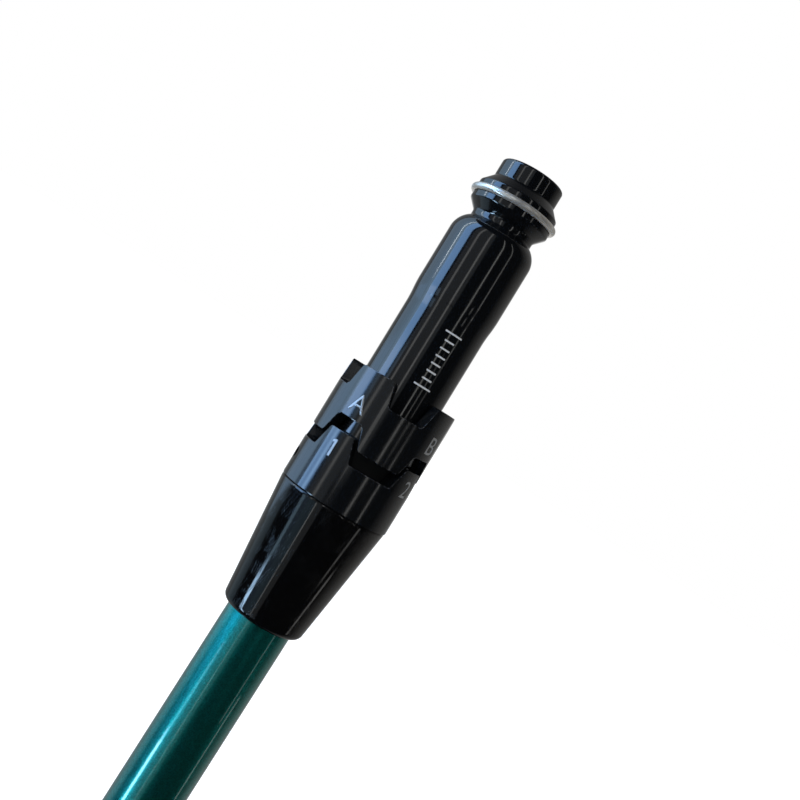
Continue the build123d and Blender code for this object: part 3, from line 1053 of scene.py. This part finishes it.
class ADAPTER_OT_shaft(Operator):
    """Makes the painted tubular shaft with its bare ends"""

    bl_idname = "adapter.shaft"
    bl_label = "Shaft"

    def execute(self, context):
        s = sizes(context.scene.adapter_shaft)
        seam = -sizes(context.scene.adapter_sleeve).seam
        bare_top, cut_end = seam - s.paint_start + s.feather, seam - s.end
        p = Section(s.core_radius, seam + s.top)
        p.line(s.bare_radius, seam + s.top)
        p.line(s.bare_radius, bare_top)
        p.line(s.painted_radius, seam - s.paint_start)
        outer = p.line(s.painted_radius, cut_end, hold=True)
        inner = p.line(s.core_radius, cut_end)
        p.close()
        p.round(outer, s.end_break, 3)
        p.round(inner, s.end_break, 2)
        shell = p.revolve(PLAIN_COLUMNS)
        for face in shell.faces:
            middle = face.calc_center_median()
            inside = middle.xy.length < s.core_radius + 0.1
            face.material_index = int(inside or middle.z > bare_top or middle.z < cut_end + s.end_break)
        tilt_down(shell, shell.verts[:])
        sharpen(shell)
        finished(
            "shaft_tube", shell, "adapter", ["teal_lacquer", "bare_laminate"], ["shaft_tip"]
        )
        return {"FINISHED"}


def wrapped(shell, radius, direction, depth):
    """Bends a flat mark round the axis: x goes round, y up, and z out of the surface."""
    for point in shell.verts:
        around = direction + point.co.x / radius
        out = radius + point.co.z
        point.co = (out * math.sin(around), -out * math.cos(around), point.co.y - depth)


def thin_mark(outline, film, sink=0.03, strip=0.15):
    """Gives a flat mark its thickness and enough lines across to bend."""
    weld(outline)
    across = [v.co.x for v in outline.verts]
    place = min(across)
    while place < max(across):
        bmesh.ops.bisect_plane(outline, geom=all_of(outline), plane_co=(place, 0, 0), plane_no=(1, 0, 0))
        place += strip
    bmesh.ops.translate(outline, vec=(0, 0, -sink), verts=outline.verts[:])
    lifted = bmesh.ops.extrude_face_region(outline, geom=outline.faces[:])
    bmesh.ops.translate(outline, vec=(0, 0, sink + film), verts=points_in(lifted["geom"]))
    face_outwards(outline)


def character(context, text, height, thinned=0.003):
    """One character as a flat mesh of this height, centred, a little thinner than its typeface."""
    curve = bpy.data.curves.new("mark", "FONT")
    curve.body, curve.size, curve.resolution_u, curve.offset = text, 1.0, 6, -thinned
    drawn = bpy.data.objects.new("mark", curve)
    context.scene.collection.objects.link(drawn)
    context.view_layer.update()
    outline = bmesh.new()
    outline.from_mesh(drawn.to_mesh())
    drawn.to_mesh_clear()
    bpy.data.objects.remove(drawn)
    xs, ys = [v.co.x for v in outline.verts], [v.co.y for v in outline.verts]
    bmesh.ops.translate(
        outline, vec=(-(min(xs) + max(xs)) / 2, -(min(ys) + max(ys)) / 2, 0), verts=outline.verts[:]
    )
    size = height / (max(ys) - min(ys))
    bmesh.ops.scale(outline, vec=(size, size, 1), verts=outline.verts[:])
    return outline


def bar(width, height):
    """A flat rectangle, centred."""
    outline = bmesh.new()
    bmesh.ops.create_grid(outline, x_segments=1, y_segments=1, size=0.5)
    bmesh.ops.scale(outline, vec=(width, height, 1), verts=outline.verts[:])
    return outline


def figure_one(height, stroke=0.145, flag_reach=0.12, flag_drop=0.07):
    """The figure 1, its parts as shares of its height: a stem with a flag at its top left edge."""
    outline = bar(stroke * height, height)
    flag_foot = height / 2 - stroke * height
    bmesh.ops.bisect_plane(
        outline, geom=all_of(outline), plane_co=(0, flag_foot, 0), plane_no=(0, 1, 0)
    )
    left = [e for e in outline.edges if all(v.co.x < 0 and v.co.y > flag_foot - SAME for v in e.verts)]
    drawn = bmesh.ops.extrude_edge_only(outline, edges=left)["geom"]
    moved = (-flag_reach * height, -flag_drop * height, 0)
    bmesh.ops.translate(outline, vec=moved, verts=points_in(drawn))
    return outline


def joined(shells):
    """Several shells in one."""
    whole = bmesh.new()
    for shell in shells:
        mesh = bpy.data.meshes.new("part")
        shell.to_mesh(mesh)
        shell.free()
        whole.from_mesh(mesh)
        bpy.data.meshes.remove(mesh)
    return whole


class ADAPTER_OT_marks(Operator):
    """Makes the ring's letters, the flange's numbers and the body's graduations"""

    bl_idname = "adapter.marks"
    bl_label = "Dial marks"

    def execute(self, context):
        m = sizes(context.scene.adapter_marks)
        ring = sizes(context.scene.adapter_ring)
        sleeve = sizes(context.scene.adapter_sleeve)
        for name, texts, height, radius, depth, body in (
            ("ring_letters", "ABCD", m.letter_height, ring.outer_radius, m.letter_depth, "ring"),
            ("flange_numbers", "1234", m.number_height, sleeve.flange_radius, m.number_depth, "adapter"),
        ):
            shells = []
            for place, text in enumerate(texts):
                mark = figure_one(height) if text == "1" else character(context, text, height)
                thin_mark(mark, m.film)
                wrapped(mark, radius, m.first + place * math.pi / 2, depth)
                shells.append(mark)
            finished(name, joined(shells), body, ["etched_satin_mark"])
        shells = []
        for place in range(m.scale_lines):
            at_end = place in (0, m.scale_lines - 1)
            line = bar(m.line_long if at_end else m.line_short, m.line_width)
            thin_mark(line, m.film)
            wrapped(line, sleeve.lower_radius, m.scale_direction, m.scale_start + place * m.scale_pitch)
            shells.append(line)
        finished("body_graduations", joined(shells), "adapter", ["etched_mark"])
        return {"FINISHED"}


class ADAPTER_OT_stage(Operator):
    """Makes the floor, the lamps, the surroundings and the camera"""

    bl_idname = "adapter.stage"
    bl_label = "Stage"

    def execute(self, context):
        s = sizes(context.scene.adapter_stage)
        context.scene.view_settings.view_transform = "Standard"
        self.make_floor(s)
        for lamp in self.lamps(s):
            self.make_lamp(context, s.lamp_distance / 1000, *lamp)
        self.make_surroundings(context, s)
        self.make_camera(context, s)
        return {"FINISHED"}

    def make_floor(self, s, reach=6000.0, gap=0.2):
        """A plain pale floor, a little below the object, that keeps its shadow."""
        sheet = bmesh.new()
        bmesh.ops.create_circle(sheet, cap_ends=True, segments=96, radius=reach)
        bmesh.ops.translate(sheet, vec=(0, 0, CAD_BOX[0].z * 1000 - gap), verts=sheet.verts[:])
        floor = placed("floor", sheet)
        material, n, shader = new_material("pale_floor")
        set_shader(shader, Base_Color=(0.9, 0.9, 0.9, 1), Roughness=0.9, Emission_Color=(1, 1, 1, 1))
        seen = n.add("ShaderNodeLightPath").outputs["Is Camera Ray"]
        n.tree.links.new(n.maths("MULTIPLY", seen, s.floor_glow), shader.inputs["Emission Strength"])
        floor.data.materials.append(material)
        floor.visible_glossy = False

    def lamps(self, s):
        """Tall lamps round the axis: direction, width, upper and lower end, radiance and tint.

        The direction is in degrees from -Y towards +X, the width in degrees as the axis sees it,
        and the ends are heights in metres. Each piece mirrors its own part of a lamp's height."""
        high, low = 0.70, -0.75
        neck, ring_top, ring_foot, body_foot, split = 0.055, 0.0, -0.065, -0.095, -0.19
        dim_top, low_top, low_start = -0.22, -0.288, -0.298
        warm, cool, cold = (1.0, 1.0, 0.97), (0.92, 0.97, 1.0), (0.50, 0.78, 1.0)
        key, side, strip, under = s.key_strength, s.side_strength, s.strip_strength, s.low_strength
        blue = s.side_colour
        return (
            ("key", -72.5, 21.0, high, split, key, s.key_colour),
            ("key_ring", -74.5, 19.0, ring_top, ring_foot, key * 0.18, warm),
            ("key_left", -80.5, 4.0, ring_foot, split, key * 0.35, blue),
            ("key_right", -68.0, 5.5, ring_foot, split, key * 0.6, blue),
            ("ring_fill", -55.5, 9.0, ring_top, ring_foot, key * 0.13, blue),
            ("side_1", -86.5, 8.0, high, ring_foot, side, blue),
            ("side_1_low", -86.5, 8.0, ring_foot, split, side * 0.25, blue),
            ("side_low", -109.0, 26.0, ring_top, split, key * 0.08, s.key_colour),
            *(
                (f"side_{step + 1}", -86.5 - 8 * step, 8.0, high, split, side * 0.78**step, blue)
                for step in range(1, 6)
            ),
            ("hair_line", -92.0, 1.0, high, neck, key * 2.8, cool),
            ("fill_1", -39.0, 34.0, high, split, strip * 0.20, cool),
            ("fill_2", -12.0, 20.0, high, body_foot, strip * 0.20, cool),
            ("strip_1", -41.0, 5.0, high, split, strip * 0.9, warm),
            ("strip_2", -13.0, 4.0, high, body_foot, strip * 1.1, warm),
            ("strip_3", 29.0, 3.2, high, split, strip * 1.5, warm),
            ("strip_4", 43.0, 2.2, ring_top, ring_foot, strip, warm),
            ("strip_5", 57.0, 2.4, high, ring_top, strip * 1.2, warm),
            ("strip_5_ring", 57.0, 2.4, ring_top, ring_foot, strip * 0.5, warm),
            ("strip_5_low", 57.0, 2.4, ring_foot, split, strip * 1.6, warm),
            ("low_side", -112.0, 30.0, split, low, under * 0.025, cold),
            ("low_key_dim", -58.0, 7.0, dim_top, low_top, under * 0.17, cold),
            ("low_key_edge", -61.0, 8.0, low_top, low_start, under * 0.7, blue),
            ("low_key", -61.0, 9.0, low_start, low, under * 1.5, blue),
            ("low_fill_1", -50.0, 9.0, split, low, under * 0.035, blue),
            ("low_fill_2", -41.0, 9.0, split, low, under * 0.04, cold),
            ("low_fill_3", -32.0, 9.0, split, low, under * 0.035, cold),
            ("low_fill_4", -21.0, 13.0, split, low, under * 0.022, cool),
            ("low_line", -28.0, 1.4, split, low, under * 0.20, warm),
            ("low_edge_top", 74.0, 4.0, split, -0.29, under * 0.08, warm),
            ("low_edge", 88.0, 5.0, -0.268, -0.36, under * 0.10, warm),
        )

    def make_lamp(self, context, distance, name, direction, wide, top, foot, radiance, tint):
        """One lamp that faces the axis."""
        data = bpy.data.lights.new(name, "AREA")
        data.shape = "RECTANGLE"
        data.size = 2 * distance * math.tan(math.radians(wide) / 2)
        data.size_y = top - foot
        data.color = tint[:3]
        data.energy = radiance * math.pi * data.size * data.size_y
        lamp = bpy.data.objects.new(name, data)
        context.scene.collection.objects.link(lamp)
        around = math.radians(direction)
        out = Vector((math.sin(around), -math.cos(around), 0))
        lamp.location = out * distance + Vector((0, 0, (top + foot) / 2))
        lamp.rotation_mode = "QUATERNION"
        lamp.rotation_quaternion = out.to_track_quat("Z", "Y")
        lamp.visible_camera = False

    def make_surroundings(self, context, s):
        """A dark room towards -Y and a pale one towards +Y, white where the camera sees it."""
        world = bpy.data.worlds.new("studio")
        world.use_nodes = True
        context.scene.world = world
        n = Nodes(world.node_tree)
        direction = n.add("ShaderNodeTexCoord").outputs["Generated"]
        x, y, _ = n.add("ShaderNodeSeparateXYZ", Vector=direction).outputs
        behind, side = (n.maths("MULTIPLY", n.maths("ADD", part, 1.0), 0.5) for part in (y, x))
        room = n.ramp(
            behind, [(0.0, 0.006), (0.50, 0.012), (0.62, 0.13), (0.76, 0.25), (0.95, 0.27), (1.0, 1.0)]
        )
        tint = n.ramp(side, [(0.0, (0.88, 0.97, 1.0)), (0.5, (1.0, 1.0, 1.0)), (1.0, (1.0, 0.98, 0.93))])
        path = n.add("ShaderNodeLightPath").outputs
        mirrored = n.maths("MAXIMUM", path["Is Glossy Ray"], path["Is Transmission Ray"])
        plain = (s.ambient, s.ambient, s.ambient, 1)
        lit = n.mix(mirrored, plain, n.mix(1.0, room, tint, "MULTIPLY"))
        seen = n.mix(path["Is Camera Ray"], lit, (1, 1, 1, 1))
        n.tree.links.new(seen, world.node_tree.nodes["Background"].inputs["Color"])

    def make_camera(self, context, s):
        """The camera, level with the object's upper half and rolled."""
        data = bpy.data.cameras.new("camera")
        data.lens, data.sensor_width, data.clip_start = s.lens, 36.0, 0.002
        camera = bpy.data.objects.new("camera", data)
        context.scene.collection.objects.link(camera)
        place = Vector((s.camera_side, -s.camera_distance, -s.camera_depth)) / 1000
        c, r = math.cos(s.roll), math.sin(s.roll)
        right, up, back = Vector((c, 0, r)), Vector((-r, 0, c)), Vector((0, -1, 0))
        facing = Matrix((right, up, back)).transposed()
        camera.matrix_world = Matrix.Translation(place) @ facing.to_4x4()
        context.scene.camera = camera


GROUPS = {
    "adapter_teeth": ToothSizes,
    "adapter_sleeve": SleeveSizes,
    "adapter_ring": RingSizes,
    "adapter_wire": WireSizes,
    "adapter_ferrule": FerruleSizes,
    "adapter_shaft": ShaftSizes,
    "adapter_marks": MarkSizes,
    "adapter_colours": FinishColours,
    "adapter_stage": StageSettings,
}
OPERATORS = (
    ADAPTER_OT_finishes, ADAPTER_OT_sleeve, ADAPTER_OT_thread, ADAPTER_OT_ring, ADAPTER_OT_wire,
    ADAPTER_OT_ferrule, ADAPTER_OT_shaft, ADAPTER_OT_marks, ADAPTER_OT_stage,
)


class ADAPTER_PT_maker(Panel):
    """Lists the adapter's pieces and their sizes"""

    bl_idname = "ADAPTER_PT_maker"
    bl_label = "Shaft adapter"
    bl_space_type = "VIEW_3D"
    bl_region_type = "UI"
    bl_category = "Adapter"

    def draw(self, context):
        for operator in OPERATORS:
            self.layout.operator(operator.bl_idname)
        for name, properties in GROUPS.items():
            box = self.layout.box()
            box.label(text=properties.__doc__)
            for prop in properties.__annotations__:
                box.prop(getattr(context.scene, name), prop)


CLASSES = (*GROUPS.values(), *OPERATORS, ADAPTER_PT_maker)


def register():
    for item in CLASSES:
        bpy.utils.register_class(item)
    for name, properties in GROUPS.items():
        setattr(bpy.types.Scene, name, PointerProperty(type=properties))


def unregister():
    for name in GROUPS:
        delattr(bpy.types.Scene, name)
    for item in reversed(CLASSES):
        bpy.utils.unregister_class(item)


def main():
    register()
    for piece in ("finishes", "sleeve", "thread", "ring", "wire", "ferrule", "shaft", "marks", "stage"):
        getattr(bpy.ops.adapter, piece)()


if __name__ == "__main__":
    main()
